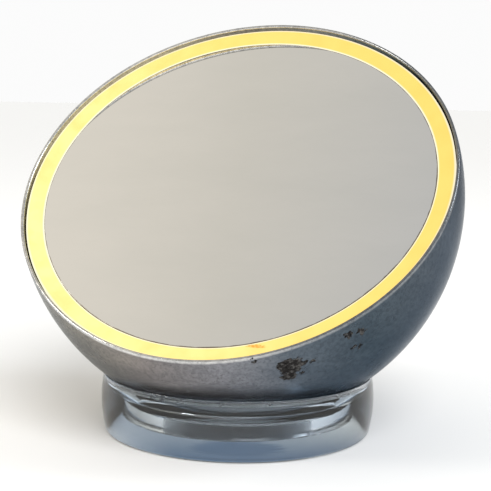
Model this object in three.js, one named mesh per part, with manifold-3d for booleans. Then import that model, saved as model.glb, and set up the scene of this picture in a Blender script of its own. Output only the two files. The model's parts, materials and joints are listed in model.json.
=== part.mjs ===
// Lighted vanity mirror: a chromed ball, cut open by a flat face that holds a round mirror in a
// glowing border, resting by its own weight in a clear acrylic block.
//
// Millimetres, +Z up. The origin is the centre of the block's underside. The face looks to -Y and
// up. Inside the ball everything is set out in the face's own frame: its origin is the ball's
// centre and its +Z leaves through the middle of the mirror.

import * as THREE from 'three';
import { mergeVertices } from 'three/addons/utils/BufferGeometryUtils.js';
import Module from 'manifold-3d';

// ---------------------------------------------------------------------------------------------
// Driving dimensions (mm and degrees)

const FIT = 0.3;                    // clearance between pieces that touch

const BALL_RADIUS = 178;
const SHELL_WALL = 1.2;
const BEAD_RADIUS = 1.3;            // edge of the shell, rolled round the mouth
const BEAD_HEIGHT = 25.2;           // middle of the bead, in front of the ball's centre
const FACE_TILT = 45;               // the face's normal above the horizontal, at rest

const BLOCK_FLOOR = 9.5;            // solid acrylic left under the well
const BALL_GAP = 0.9;               // ball's lowest point above the well's floor
const BLOCK_FOOT_RADIUS = 108.4;
const BLOCK_LIP_RADIUS = 109.3;
const BLOCK_BULGE = 2.4;            // how far the wall swells between foot and lip
const BLOCK_FOOT_ROUND = 2.6;
const BLOCK_LIP_FLAT = 0.7;
const WELL_RADIUS = 62;
const WELL_CHAMFER = 2.2;
const SEAT_CLEARANCE = 0.6;         // acrylic seat to ball
const CUSHION_BELOW_LIP = 7;        // middle of the cushion, measured down the seat
const CUSHION_WIDTH = 3.6;
const CUSHION_THICKNESS = 2;

const FACE_INSET = 6.2;             // front of mirror and border, behind the middle of the bead
const MIRROR_THICKNESS = 3;
const MIRROR_BEVEL = 0.5;
const BORDER_CLEARANCE = 0.6;       // border to bead
const BORDER_WIDTH = 14.2;          // from the mirror's edge to the border's
const BORDER_THICKNESS = 6.3;       // where it meets the mirror
const BORDER_RISE = 3.2;            // how far its face climbs from the mirror to its outer edge
const BORDER_LEDGE = 7;             // how far the border reaches in under the mirror
const BORDER_ROUND = 0.8;
const CARRIER_SHEET = 1.2;
const CARRIER_RIM = 5;
const CARRIER_SPOKE = 12;
const PAD_RADIUS = 20;
const PAD_CIRCLE = 90;              // radius of the circle that the three pads stand on

const CLIP_SHEET = 1;
const CLIP_WIDTH = 14;
const CLIP_DROP = 25;               // how far the face clips reach back from the carrier
const CLIP_SHOULDER = 3;            // how far their ends stand in from their elbows
const CLIP_TOE = 4.5;

const PAN_SHEET = 1;
const PAN_BEHIND_CARRIER = 8.2;     // front of the pan's flange, behind the carrier
const PAN_BEHIND_LAMP = 6.5;        // front of the pan's floor, behind the lamp
const PAN_EDGE_GAP = 4.3;           // flange to shell
const PAN_FLANGE_WIDTH = 8.5;
const PAN_FLOOR_TUCK = 0.4;         // how far the floor's edge lies inside the lamp's
const PAN_WIRE_HOLE = 9;
const BRACKET_SHEET = 1.5;
const BRACKET_WIDTH = 16;
const BRACKET_FOOT = 15;

const LAMP_INSET = 35.1;            // centreline of the circular tube, inside the border's edge
const LAMP_TUBE_RADIUS = 14.5;
const LAMP_BEHIND_CARRIER = 8.7;    // front of the lamp, behind the carrier
const LAMP_CAP_LENGTH = 30;
const LAMP_CAP_WALL = 1.1;          // how far the cap stands proud of the tube
const LAMP_CLIP_SHEET = 0.9;
const LAMP_CLIP_WIDTH = 12;
const LAMP_CLIP_MOUTH = 100;        // degrees left open towards the mirror
const LAMP_CLIP_STEM = 8;
const HOLDER_SIZE = [26, 22, 24];

const STARTER_RADIUS = 10.6;
const STARTER_LENGTH = 33;
const STARTER_ROUND = 2;
const STARTER_INSET = 27.4;         // starter's base to the inside of the lamp
const STARTER_ANGLE = 205;
const STARTER_BASE_RADIUS = 14;
const STARTER_BASE_HEIGHT = 6;

const BALLAST_SIZE = [104, 46, 36];
const BALLAST_TAB = 14;
const BALLAST_TAB_WIDTH = 27.6;
const BALLAST_TAB_SHEET = 2;
const TERMINAL_SIZE = [34, 16, 11];
const TERMINAL_PLACE = 52;          // middle of the terminal block, above the ballast

const SCREW_RADIUS = 2;
const SCREW_HEAD_RADIUS = 3.6;
const SCREW_HEAD_HEIGHT = 2.4;
const SCREW_HEAD_ROUND = 1.2;
const SCREW_LENGTH = 10;
const NUT_HEIGHT = 3;
const NUT_CORNER_RADIUS = 4.2;

const GLAND_BACK_ANGLE = 45;        // from the middle of the ball's back, towards the face's top
const GLAND_BORE_RADIUS = 3.8;
const GLAND_NECK_RADIUS = 6;
const GLAND_FLANGE_RADIUS = 9;
const GLAND_FLANGE_HEIGHT = 3.5;
const GLAND_FLANGE_ROUND = 1.4;
const GLAND_LENGTH = 16;
const GLAND_NUT_HEIGHT = 4;

const SWITCH_BACK_ANGLE = 62;
const SWITCH_SIDE_ANGLE = 25;       // round to +X from the ball's upright middle line
const SWITCH_NECK_RADIUS = 7;
const SWITCH_COLLAR_RADIUS = 10.5;
const SWITCH_COLLAR_HEIGHT = 3;
const SWITCH_COLLAR_CHAMFER = 1;
const SWITCH_BODY_SIZE = [22, 22, 24];
const BUTTON_RADIUS = 5;
const BUTTON_PROUD = 5;             // above the collar
const BUTTON_TRAVEL = 3;
const BUTTON_CHAMFER = 1;
const BUTTON_CROWN = 0.4;

const ROUND_STEPS = 64;             // facets round the large turned pieces
const SMALL_STEPS = 20;
const SEAT_STEP = 2.8;              // degrees of seat to a facet, small enough to clear the ball
const OVERCUT = 10;                 // how far a cutter runs past what it cuts
const SHELL_FACET = 0.6;            // how far the shell's flat facets fall inside its true radius

// ---------------------------------------------------------------------------------------------
// Sizes that follow from them

const CENTRE_HEIGHT = BLOCK_FLOOR + BALL_GAP + BALL_RADIUS;
const SHELL_INNER = BALL_RADIUS - SHELL_WALL;
const SEAT_RADIUS = BALL_RADIUS + SEAT_CLEARANCE;
const BEAD_CIRCLE = Math.sqrt((BALL_RADIUS - BEAD_RADIUS) ** 2 - BEAD_HEIGHT ** 2);
const FACE_HEIGHT = BEAD_HEIGHT - FACE_INSET;
const BORDER_RADIUS = BEAD_CIRCLE - BEAD_RADIUS - BORDER_CLEARANCE;
const MIRROR_RADIUS = BORDER_RADIUS - BORDER_WIDTH;
const BORDER_BACK = FACE_HEIGHT - BORDER_THICKNESS;
const MIRROR_BACK = FACE_HEIGHT - MIRROR_THICKNESS;
const CARRIER_TOP = BORDER_BACK - FIT;
const CARRIER_BACK = CARRIER_TOP - CARRIER_SHEET;
const LAMP_HEIGHT = CARRIER_BACK - LAMP_BEHIND_CARRIER - LAMP_TUBE_RADIUS;
const LAMP_RING_RADIUS = BORDER_RADIUS - LAMP_INSET;
const LAMP_CAP_RADIUS = LAMP_TUBE_RADIUS + LAMP_CAP_WALL;
const PAN_FLOOR_TOP = LAMP_HEIGHT - LAMP_TUBE_RADIUS - PAN_BEHIND_LAMP;
const PAN_FLOOR_HEIGHT = PAN_FLOOR_TOP - PAN_SHEET;
const PAN_FLOOR_RADIUS = LAMP_RING_RADIUS + LAMP_TUBE_RADIUS - PAN_FLOOR_TUCK;
const PAN_FLANGE_TOP = CARRIER_BACK - PAN_BEHIND_CARRIER;
const PAN_FLANGE_HEIGHT = PAN_FLANGE_TOP - PAN_SHEET;
const PAN_FLANGE_RADIUS = SHELL_INNER - PAN_EDGE_GAP;
const PAN_WALL_RADIUS = PAN_FLANGE_RADIUS - PAN_FLANGE_WIDTH;
const STARTER_CIRCLE = LAMP_RING_RADIUS - LAMP_TUBE_RADIUS - STARTER_INSET - STARTER_BASE_RADIUS;
const SCREW_HOLE_RADIUS = SCREW_RADIUS + FIT;
const PAN_SCREW_CIRCLE = PAN_FLANGE_RADIUS - SCREW_HEAD_RADIUS;
const BALLAST_SCREW_PLACE = BALLAST_SIZE[0] / 2 + BALLAST_TAB / 2;

// ---------------------------------------------------------------------------------------------
// Tools for making the shapes

const wasm = await Module();
wasm.setup();

const radians = THREE.MathUtils.degToRad;

// Merges shared corners, drops slivers of no area and turns the faces outwards.
function closed(geometry) {
  const bare = geometry.clone();
  bare.deleteAttribute('normal');
  bare.deleteAttribute('uv');
  const merged = mergeVertices(bare, 1e-4);
  const place = merged.getAttribute('position');
  const corners = [];
  let volume = 0;
  for (let i = 0; i < merged.index.count; i += 3) {
    const [a, b, c] = [0, 1, 2].map((k) => merged.index.getX(i + k));
    if (a === b || b === c || c === a) continue;
    const [p, q, r] = [a, b, c].map((k) => new THREE.Vector3().fromBufferAttribute(place, k));
    volume += p.dot(q.cross(r));
    corners.push(a, b, c);
  }
  if (volume < 0) {
    for (let i = 0; i < corners.length; i += 3) {
      [corners[i], corners[i + 1]] = [corners[i + 1], corners[i]];
    }
  }
  merged.setIndex(corners);
  return merged;
}

function toSolid(geometry) {
  const ready = closed(geometry);
  const mesh = new wasm.Mesh({
    numProp: 3,
    vertProperties: new Float32Array(ready.getAttribute('position').array),
    triVerts: new Uint32Array(ready.index.array),
  });
  mesh.merge();
  return new wasm.Manifold(mesh);
}

function fromSolid(solid) {
  const mesh = solid.getMesh();
  const geometry = new THREE.BufferGeometry();
  geometry.setAttribute('position', new THREE.BufferAttribute(mesh.vertProperties, 3));
  geometry.setIndex(Array.from(mesh.triVerts));
  return geometry;
}

function cut(geometry, cutters) {
  let solid = toSolid(geometry);
  for (const cutter of cutters) solid = solid.subtract(toSolid(cutter));
  return fromSolid(solid);
}

function join(geometries) {
  let solid = toSolid(geometries[0]);
  for (const other of geometries.slice(1)) solid = solid.add(toSolid(other));
  return fromSolid(solid);
}

// A profile of [radius, height] points turned about +Z. It closes on itself, or on the axis.
function turned(profile, steps = ROUND_STEPS) {
  const points = profile.map(([radius, height]) => new THREE.Vector2(radius, height));
  if (profile[0][0] > 0) points.push(points[0].clone());
  return closed(new THREE.LatheGeometry(points, steps).rotateX(Math.PI / 2));
}

function discOf(radius, low, high, steps = SMALL_STEPS) {
  return turned([[0, low], [radius, low], [radius, high], [0, high]], steps);
}

// A hexagon nut, given the radius of its bore and of its corners.
function nutOf(bore, corner, low, high) {
  return cut(discOf(corner, low, high, 6), [discOf(bore, low - OVERCUT, high + OVERCUT)]);
}

function boxOf(size, low) {
  return new THREE.BoxGeometry(...size).translate(0, 0, low + size[2] / 2);
}

// Points of an arc about (radius, height), angles from the outward direction towards +Z.
function arc(radius, height, round, from, to, steps) {
  return Array.from({ length: steps + 1 }, (_, i) => {
    const angle = radians(from + ((to - from) * i) / steps);
    return [radius + round * Math.cos(angle), height + round * Math.sin(angle)];
  });
}

// Points on a sphere about the frame's origin, angles from straight down (-Z).
function sphereArc(radius, from, to, steps, height = 0) {
  return Array.from({ length: steps + 1 }, (_, i) => {
    const angle = radians(from + ((to - from) * i) / steps);
    return [radius * Math.sin(angle), height - radius * Math.cos(angle)];
  });
}

// The same on the seat's spheres, about the ball's centre, with facets fine enough to clear it.
function seatArc(radius, from, to) {
  const steps = Math.ceil(Math.abs(to - from) / SEAT_STEP);
  return sphereArc(radius, from, to, steps, CENTRE_HEIGHT);
}

// A flat outline of [radius, height] points, given a width across the radius and centred on it.
function strip(outline, width) {
  const shape = new THREE.Shape(outline.map(([radius, height]) => new THREE.Vector2(radius, height)));
  const flat = new THREE.ExtrudeGeometry(shape, { depth: width, bevelEnabled: false });
  return flat.translate(0, 0, -width / 2).rotateX(Math.PI / 2);
}

// Angles of so many places evenly spaced round a circle.
function evenTurns(count, first = 0) {
  return Array.from({ length: count }, (_, i) => first + (360 / count) * i);
}

// A direction on the back of the ball, in the face's frame.
function backDirection(backAngle, sideAngle) {
  const out = Math.sin(radians(backAngle));
  return new THREE.Vector3(
    out * Math.sin(radians(sideAngle)),
    out * Math.cos(radians(sideAngle)),
    -Math.cos(radians(backAngle)),
  );
}

// Turns geometry made about +Z so that +Z leaves the ball along the direction.
function alongBack(geometry, direction) {
  const turn = new THREE.Quaternion().setFromUnitVectors(new THREE.Vector3(0, 0, 1), direction);
  return geometry.applyQuaternion(turn);
}

// ---------------------------------------------------------------------------------------------
// Finishes and the scene graph

const FINISHES = {
  chrome: { color: 0x8b8f95, metalness: 1, roughness: 0.14 },
  acrylic: { color: 0xe6edf0, metalness: 0, roughness: 0.03, transparent: true, opacity: 0.35 },
  cushion: { color: 0xd5dade, metalness: 0, roughness: 0.5, transparent: true, opacity: 0.6 },
  silvered: { color: 0xd9d8d2, metalness: 1, roughness: 0.02 },
  opal: { color: 0xffe9a0, metalness: 0, roughness: 0.35, emissive: 0xffd46a },
  whiteEnamel: { color: 0xf2f1ec, metalness: 0, roughness: 0.4 },
  zinc: { color: 0xa9adb0, metalness: 0.9, roughness: 0.35 },
  springSteel: { color: 0x83878b, metalness: 1, roughness: 0.3 },
  phosphor: { color: 0xfff6e0, metalness: 0, roughness: 0.3, emissive: 0xfff0c8 },
  whitePlastic: { color: 0xeae8e2, metalness: 0, roughness: 0.45 },
  blackPlastic: { color: 0x1b1c1e, metalness: 0, roughness: 0.4 },
  blackEnamel: { color: 0x26282b, metalness: 0.2, roughness: 0.5 },
  foam: { color: 0x3a3b3d, metalness: 0, roughness: 0.95 },
  aluminiumCan: { color: 0xc5c8ca, metalness: 0.9, roughness: 0.28 },
};

const mirror = new THREE.Group();
const ball = new THREE.Group();
ball.position.z = CENTRE_HEIGHT;
ball.rotation.x = radians(FACE_TILT);
mirror.add(ball);

function add(group, name, geometry, finish, turn = 0) {
  const mesh = new THREE.Mesh(closed(geometry), new THREE.MeshStandardMaterial(FINISHES[finish]));
  mesh.name = name;
  mesh.rotation.z = radians(turn);
  group.add(mesh);
}

// ---------------------------------------------------------------------------------------------
// Base: one block of cast acrylic, turned to a seat for the ball, with a flat-bottomed well

const lipAngle = THREE.MathUtils.radToDeg(Math.asin((BLOCK_LIP_RADIUS - BLOCK_LIP_FLAT) / SEAT_RADIUS));
const cushionAngle = lipAngle - THREE.MathUtils.radToDeg(CUSHION_BELOW_LIP / BALL_RADIUS);
const cushionHalf = THREE.MathUtils.radToDeg(CUSHION_WIDTH / 2 / BALL_RADIUS);
const cushionInner = BALL_RADIUS + FIT;
const cushionOuter = cushionInner + CUSHION_THICKNESS;
const grooveHalf = cushionHalf + THREE.MathUtils.radToDeg(FIT / BALL_RADIUS);
const grooveRadius = cushionOuter + FIT;

function blockWall() {
  const lipHeight = CENTRE_HEIGHT - Math.sqrt(SEAT_RADIUS ** 2 - BLOCK_LIP_RADIUS ** 2);
  const top = lipHeight - BLOCK_LIP_FLAT;
  const steps = 6;
  return Array.from({ length: steps + 1 }, (_, i) => {
    const t = i / steps;
    const straight = BLOCK_FOOT_RADIUS + (BLOCK_LIP_RADIUS - BLOCK_FOOT_RADIUS) * t;
    return [straight + 4 * BLOCK_BULGE * t * (1 - t), BLOCK_FOOT_ROUND + (top - BLOCK_FOOT_ROUND) * t];
  });
}

function block() {
  const wellAngle = THREE.MathUtils.radToDeg(Math.asin((WELL_RADIUS + WELL_CHAMFER) / SEAT_RADIUS));
  const grooveTop = cushionAngle + grooveHalf;
  const grooveLow = cushionAngle - grooveHalf;
  const seatFoot = CENTRE_HEIGHT - Math.sqrt(SEAT_RADIUS ** 2 - (WELL_RADIUS + WELL_CHAMFER) ** 2);
  return turned([
    [0, 0],
    ...arc(BLOCK_FOOT_RADIUS - BLOCK_FOOT_ROUND, BLOCK_FOOT_ROUND, BLOCK_FOOT_ROUND, -90, -22.5, 3),
    ...blockWall(),
    ...seatArc(SEAT_RADIUS, lipAngle, grooveTop),
    ...seatArc(grooveRadius, grooveTop, grooveLow),
    ...seatArc(SEAT_RADIUS, grooveLow, wellAngle),
    [WELL_RADIUS, seatFoot - WELL_CHAMFER],
    [WELL_RADIUS, BLOCK_FLOOR],
    [0, BLOCK_FLOOR],
  ]);
}

function cushion() {
  const low = cushionAngle - cushionHalf;
  const high = cushionAngle + cushionHalf;
  return turned([...seatArc(cushionOuter, low, high), ...seatArc(cushionInner, high, low)]);
}

add(mirror, 'base_block', block(), 'acrylic');
add(mirror, 'seat_cushion', cushion(), 'cushion');

// ---------------------------------------------------------------------------------------------
// Ball shell: spun sheet with its edge rolled into a bead, pierced at the back for the cord's
// gland and the switch

const glandDirection = backDirection(GLAND_BACK_ANGLE, 0);
const switchDirection = backDirection(SWITCH_BACK_ANGLE, SWITCH_SIDE_ANGLE);

function shell() {
  const beadAngle = THREE.MathUtils.radToDeg(Math.atan2(BEAD_HEIGHT, BEAD_CIRCLE));
  const wallMeetsBead = THREE.MathUtils.radToDeg(Math.acos(1 - SHELL_WALL / BEAD_RADIUS));
  const beadWidth = THREE.MathUtils.radToDeg(
    (BEAD_RADIUS * Math.sin(radians(wallMeetsBead))) / BALL_RADIUS,
  );
  const bowl = turned([
    ...sphereArc(BALL_RADIUS, 0, 90 + beadAngle, 14),
    ...arc(BEAD_CIRCLE, BEAD_HEIGHT, BEAD_RADIUS, beadAngle + 45, beadAngle + 360 - wallMeetsBead, 6),
    ...sphereArc(SHELL_INNER, 90 + beadAngle - 2 * beadWidth, 0, 13),
  ]);
  const gland = discOf(GLAND_NECK_RADIUS + FIT, SHELL_INNER - OVERCUT, BALL_RADIUS + OVERCUT);
  const neck = discOf(SWITCH_NECK_RADIUS + FIT, SHELL_INNER - OVERCUT, BALL_RADIUS + OVERCUT);
  return cut(bowl, [alongBack(gland, glandDirection), alongBack(neck, switchDirection)]);
}

add(ball, 'ball_shell', shell(), 'chrome');

// ---------------------------------------------------------------------------------------------
// Face: silvered glass in a dished border of opal acrylic, on a spoked steel carrier that
// lets the lamp's light through, held in the mouth by four spring clips

function border() {
  const edge = FACE_HEIGHT + BORDER_RISE;
  return turned([
    [MIRROR_RADIUS - BORDER_LEDGE, BORDER_BACK],
    [BORDER_RADIUS, BORDER_BACK],
    [BORDER_RADIUS, edge - BORDER_ROUND],
    [BORDER_RADIUS - BORDER_ROUND, edge],
    [MIRROR_RADIUS + FIT, FACE_HEIGHT],
    [MIRROR_RADIUS + FIT, MIRROR_BACK - FIT],
    [MIRROR_RADIUS - BORDER_LEDGE, MIRROR_BACK - FIT],
  ]);
}

function glass() {
  return turned([
    [0, MIRROR_BACK],
    [MIRROR_RADIUS, MIRROR_BACK],
    [MIRROR_RADIUS, FACE_HEIGHT - MIRROR_BEVEL],
    [MIRROR_RADIUS - MIRROR_BEVEL, FACE_HEIGHT],
    [0, FACE_HEIGHT],
  ]);
}

function carrier() {
  const hubRadius = MIRROR_RADIUS - BORDER_LEDGE - FIT;
  const rimInner = BORDER_RADIUS - CARRIER_RIM;
  const shape = new THREE.Shape().absarc(0, 0, BORDER_RADIUS, 0, 2 * Math.PI);
  for (const turn of evenTurns(4)) {
    const start = radians(turn);
    const outerHalf = Math.asin(CARRIER_SPOKE / 2 / rimInner);
    const innerHalf = Math.asin(CARRIER_SPOKE / 2 / hubRadius);
    const window = new THREE.Path();
    window.absarc(0, 0, rimInner, start + outerHalf, start + Math.PI / 2 - outerHalf, false);
    window.absarc(0, 0, hubRadius, start + Math.PI / 2 - innerHalf, start + innerHalf, true);
    window.closePath();
    shape.holes.push(window);
  }
  const flat = new THREE.ExtrudeGeometry(shape, {
    depth: CARRIER_SHEET,
    bevelEnabled: false,
    curveSegments: ROUND_STEPS / 4,
  });
  return flat.translate(0, 0, CARRIER_BACK);
}

// A bent strip: flat under the carrier's rim, out to the shell behind the bead, and back in.
function faceClip() {
  const top = CARRIER_BACK - FIT;
  const touch = SHELL_INNER - 2 * FIT;
  const elbow = top - CLIP_DROP / 2;
  const foot = BORDER_RADIUS - CARRIER_RIM + CLIP_SHEET;
  const end = top - CLIP_DROP;
  return strip([
    [foot, top],
    [touch - CLIP_SHOULDER, top],
    [touch, elbow],
    [touch - CLIP_TOE, end],
    [touch - CLIP_TOE - CLIP_SHEET, end],
    [touch - CLIP_SHEET, elbow],
    [touch - CLIP_SHOULDER - CLIP_SHEET, top - CLIP_SHEET],
    [foot, top - CLIP_SHEET],
  ], CLIP_WIDTH);
}

add(ball, 'diffuser_ring', border(), 'opal');
add(ball, 'mirror_glass', glass(), 'silvered');
add(ball, 'face_carrier', carrier(), 'zinc');
evenTurns(3, 90).forEach((turn, i) => {
  const pad = discOf(PAD_RADIUS, CARRIER_TOP + FIT, MIRROR_BACK - FIT).translate(PAD_CIRCLE, 0, 0);
  add(ball, `mirror_pad_${i + 1}`, pad, 'foam', turn);
});
evenTurns(4, 45).forEach((turn, i) => add(ball, `face_clip_${i + 1}`, faceClip(), 'springSteel', turn));

// ---------------------------------------------------------------------------------------------
// Lamp pan: a white dish behind the lamp, screwed to four angle brackets in the shell

function headedScrew(seat, length) {
  return turned([
    [0, seat - length],
    [SCREW_RADIUS, seat - length],
    [SCREW_RADIUS, seat],
    [SCREW_HEAD_RADIUS, seat],
    [SCREW_HEAD_RADIUS, seat + SCREW_HEAD_HEIGHT - SCREW_HEAD_ROUND],
    [SCREW_HEAD_RADIUS - SCREW_HEAD_ROUND, seat + SCREW_HEAD_HEIGHT],
    [0, seat + SCREW_HEAD_HEIGHT],
  ], 12);
}

function throughHole(radius, x, y) {
  return discOf(radius, PAN_FLOOR_HEIGHT - OVERCUT, PAN_FLANGE_TOP + OVERCUT, 12).translate(x, y, 0);
}

function pan() {
  const dish = turned([
    [PAN_WIRE_HOLE, PAN_FLOOR_HEIGHT],
    [PAN_FLOOR_RADIUS, PAN_FLOOR_HEIGHT],
    [PAN_WALL_RADIUS, PAN_FLANGE_HEIGHT],
    [PAN_FLANGE_RADIUS, PAN_FLANGE_HEIGHT],
    [PAN_FLANGE_RADIUS, PAN_FLANGE_TOP],
    [PAN_WALL_RADIUS - PAN_SHEET, PAN_FLANGE_TOP],
    [PAN_FLOOR_RADIUS - PAN_SHEET, PAN_FLOOR_TOP],
    [PAN_WIRE_HOLE, PAN_FLOOR_TOP],
  ]);
  const rimHoles = evenTurns(4).map((turn) => throughHole(
    SCREW_HOLE_RADIUS,
    PAN_SCREW_CIRCLE * Math.cos(radians(turn)),
    PAN_SCREW_CIRCLE * Math.sin(radians(turn)),
  ));
  const ballastHoles = [-1, 1].map((side) => throughHole(SCREW_HOLE_RADIUS, side * BALLAST_SCREW_PLACE, 0));
  return cut(dish, [...rimHoles, ...ballastHoles]);
}

// An angle: the shelf carries the pan's flange, the foot is spot-welded to the shell.
function bracket() {
  const shelfTop = PAN_FLANGE_HEIGHT - FIT;
  const footEnd = shelfTop - BRACKET_FOOT;
  const halfWidth = BRACKET_WIDTH / 2;
  const wallAtEdge = Math.sqrt(SHELL_INNER ** 2 - footEnd ** 2 - halfWidth ** 2) - 2 * FIT;
  const shelfInner = PAN_WALL_RADIUS + PAN_SHEET;
  const angle = strip([
    [shelfInner, shelfTop],
    [wallAtEdge, shelfTop],
    [wallAtEdge, footEnd],
    [wallAtEdge - BRACKET_SHEET, footEnd],
    [wallAtEdge - BRACKET_SHEET, shelfTop - BRACKET_SHEET],
    [shelfInner, shelfTop - BRACKET_SHEET],
  ], BRACKET_WIDTH);
  return cut(angle, [throughHole(SCREW_HOLE_RADIUS, PAN_SCREW_CIRCLE, 0)]);
}

add(ball, 'lamp_pan', pan(), 'whiteEnamel');
evenTurns(4).forEach((turn, i) => {
  add(ball, `shell_bracket_${i + 1}`, bracket(), 'zinc', turn);
  const screw = headedScrew(PAN_FLANGE_TOP + FIT, SCREW_LENGTH).translate(PAN_SCREW_CIRCLE, 0, 0);
  add(ball, `pan_screw_${i + 1}`, screw, 'zinc', turn);
});

// ---------------------------------------------------------------------------------------------
// Lamp: a circular fluorescent tube with its cap at the foot of the ring, three spring clips,
// the plug-on holder inside the ring, and the starter

const lampCapHalf = Math.asin((LAMP_CAP_LENGTH / 2 + FIT) / (LAMP_RING_RADIUS - LAMP_TUBE_RADIUS));

class RingPath extends THREE.Curve {
  getPoint(t, target = new THREE.Vector3()) {
    const angle = -Math.PI / 2 + lampCapHalf + (2 * Math.PI - 2 * lampCapHalf) * t;
    return target.set(
      LAMP_RING_RADIUS * Math.cos(angle),
      LAMP_RING_RADIUS * Math.sin(angle),
      LAMP_HEIGHT,
    );
  }
}

function lampTube() {
  const section = new THREE.Shape().absarc(0, 0, LAMP_TUBE_RADIUS, 0, 2 * Math.PI);
  return new THREE.ExtrudeGeometry(section, {
    steps: 44,
    extrudePath: new RingPath(),
    curveSegments: 6,
  });
}

function lampCap() {
  const sleeve = turned([
    [0, -LAMP_CAP_LENGTH / 2],
    [LAMP_CAP_RADIUS, -LAMP_CAP_LENGTH / 2],
    [LAMP_CAP_RADIUS, LAMP_CAP_LENGTH / 2],
    [0, LAMP_CAP_LENGTH / 2],
  ], SMALL_STEPS);
  return sleeve.rotateY(Math.PI / 2).translate(0, -LAMP_RING_RADIUS, LAMP_HEIGHT);
}

// An open ring round the tube, on a block that stands on the pan's floor.
function lampClip() {
  const inner = LAMP_TUBE_RADIUS + 2 * FIT;
  const outer = inner + LAMP_CLIP_SHEET;
  const half = LAMP_CLIP_MOUTH / 2;
  const stemHalf = LAMP_CLIP_STEM / 2;
  const stemAngle = THREE.MathUtils.radToDeg(Math.asin(stemHalf / outer));
  const foot = PAN_FLOOR_TOP + FIT;
  return strip([
    ...arc(LAMP_RING_RADIUS, LAMP_HEIGHT, outer, 90 + half, 270 - stemAngle, 6),
    [LAMP_RING_RADIUS - stemHalf, foot],
    [LAMP_RING_RADIUS + stemHalf, foot],
    ...arc(LAMP_RING_RADIUS, LAMP_HEIGHT, outer, 270 + stemAngle, 450 - half, 6),
    ...arc(LAMP_RING_RADIUS, LAMP_HEIGHT, inner, 450 - half, 90 + half, 14),
  ], LAMP_CLIP_WIDTH);
}

add(ball, 'lamp_tube', lampTube(), 'phosphor');
add(ball, 'lamp_cap', lampCap(), 'whitePlastic');
evenTurns(3, 90).forEach((turn, i) => add(ball, `lamp_clip_${i + 1}`, lampClip(), 'springSteel', turn));

const holderInset = LAMP_RING_RADIUS - LAMP_CAP_RADIUS - FIT - HOLDER_SIZE[1] / 2;
const holder = boxOf(HOLDER_SIZE, PAN_FLOOR_TOP + FIT).translate(0, -holderInset, 0);
add(ball, 'lamp_holder', holder, 'whitePlastic');

const starterBase = PAN_FLOOR_TOP + FIT;
const starterFoot = starterBase + STARTER_BASE_HEIGHT + FIT;
const starterCan = turned([
  [0, starterFoot],
  [STARTER_RADIUS, starterFoot],
  [STARTER_RADIUS, starterFoot + STARTER_LENGTH - STARTER_ROUND],
  [STARTER_RADIUS - STARTER_ROUND, starterFoot + STARTER_LENGTH],
  [0, starterFoot + STARTER_LENGTH],
], SMALL_STEPS);
const starterCup = discOf(STARTER_BASE_RADIUS, starterBase, starterBase + STARTER_BASE_HEIGHT);
add(ball, 'starter_holder', starterCup.translate(STARTER_CIRCLE, 0, 0), 'whitePlastic', STARTER_ANGLE);
add(ball, 'starter', starterCan.translate(STARTER_CIRCLE, 0, 0), 'aluminiumCan', STARTER_ANGLE);

// ---------------------------------------------------------------------------------------------
// Ballast and terminal block, hung on the back of the pan

function ballast() {
  const top = PAN_FLOOR_HEIGHT - FIT;
  const core = boxOf(BALLAST_SIZE, top - BALLAST_SIZE[2]);
  const tabs = boxOf(
    [BALLAST_SIZE[0] + 2 * BALLAST_TAB, BALLAST_TAB_WIDTH, BALLAST_TAB_SHEET],
    top - BALLAST_TAB_SHEET,
  );
  const holes = [-1, 1].map((side) => throughHole(SCREW_HOLE_RADIUS, side * BALLAST_SCREW_PLACE, 0));
  return cut(join([core, tabs]), holes);
}

add(ball, 'ballast', ballast(), 'blackEnamel');
[-1, 1].forEach((side, i) => {
  const x = side * BALLAST_SCREW_PLACE;
  const nutTop = PAN_FLOOR_HEIGHT - BALLAST_TAB_SHEET - 2 * FIT;
  const nut = nutOf(SCREW_HOLE_RADIUS, NUT_CORNER_RADIUS, nutTop - NUT_HEIGHT, nutTop);
  const screw = headedScrew(PAN_FLOOR_TOP + FIT, SCREW_LENGTH);
  add(ball, `ballast_screw_${i + 1}`, screw.translate(x, 0, 0), 'zinc');
  add(ball, `ballast_nut_${i + 1}`, nut.translate(x, 0, 0), 'zinc');
});
const terminals = boxOf(TERMINAL_SIZE, PAN_FLOOR_HEIGHT - FIT - TERMINAL_SIZE[2]);
add(ball, 'terminal_block', terminals.translate(0, TERMINAL_PLACE, 0), 'whitePlastic');

// ---------------------------------------------------------------------------------------------
// Cord gland: a flanged bush through the shell, with its nut inside

function glandBush() {
  const seat = BALL_RADIUS + FIT;
  const tail = seat + GLAND_FLANGE_HEIGHT - GLAND_LENGTH;
  return turned([
    [GLAND_BORE_RADIUS, tail],
    [GLAND_NECK_RADIUS, tail],
    [GLAND_NECK_RADIUS, seat],
    [GLAND_FLANGE_RADIUS, seat],
    [GLAND_FLANGE_RADIUS, seat + GLAND_FLANGE_HEIGHT - GLAND_FLANGE_ROUND],
    [GLAND_FLANGE_RADIUS - GLAND_FLANGE_ROUND, seat + GLAND_FLANGE_HEIGHT],
    [GLAND_BORE_RADIUS, seat + GLAND_FLANGE_HEIGHT],
  ], SMALL_STEPS);
}

// The nuts bear on the shell's inside, which curves away from them at their edges.
function bearingHeight(radius) {
  return Math.sqrt((SHELL_INNER - SHELL_FACET) ** 2 - radius ** 2) - FIT;
}

add(ball, 'cord_gland', alongBack(glandBush(), glandDirection), 'blackPlastic');
const glandNutTop = bearingHeight(GLAND_FLANGE_RADIUS);
const glandNutFoot = glandNutTop - GLAND_NUT_HEIGHT;
const glandNut = nutOf(GLAND_NECK_RADIUS + FIT, GLAND_FLANGE_RADIUS, glandNutFoot, glandNutTop);
add(ball, 'gland_nut', alongBack(glandNut, glandDirection), 'blackPlastic');

// ---------------------------------------------------------------------------------------------
// Switch: body behind the shell with a threaded neck, collar outside, and the push button

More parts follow.
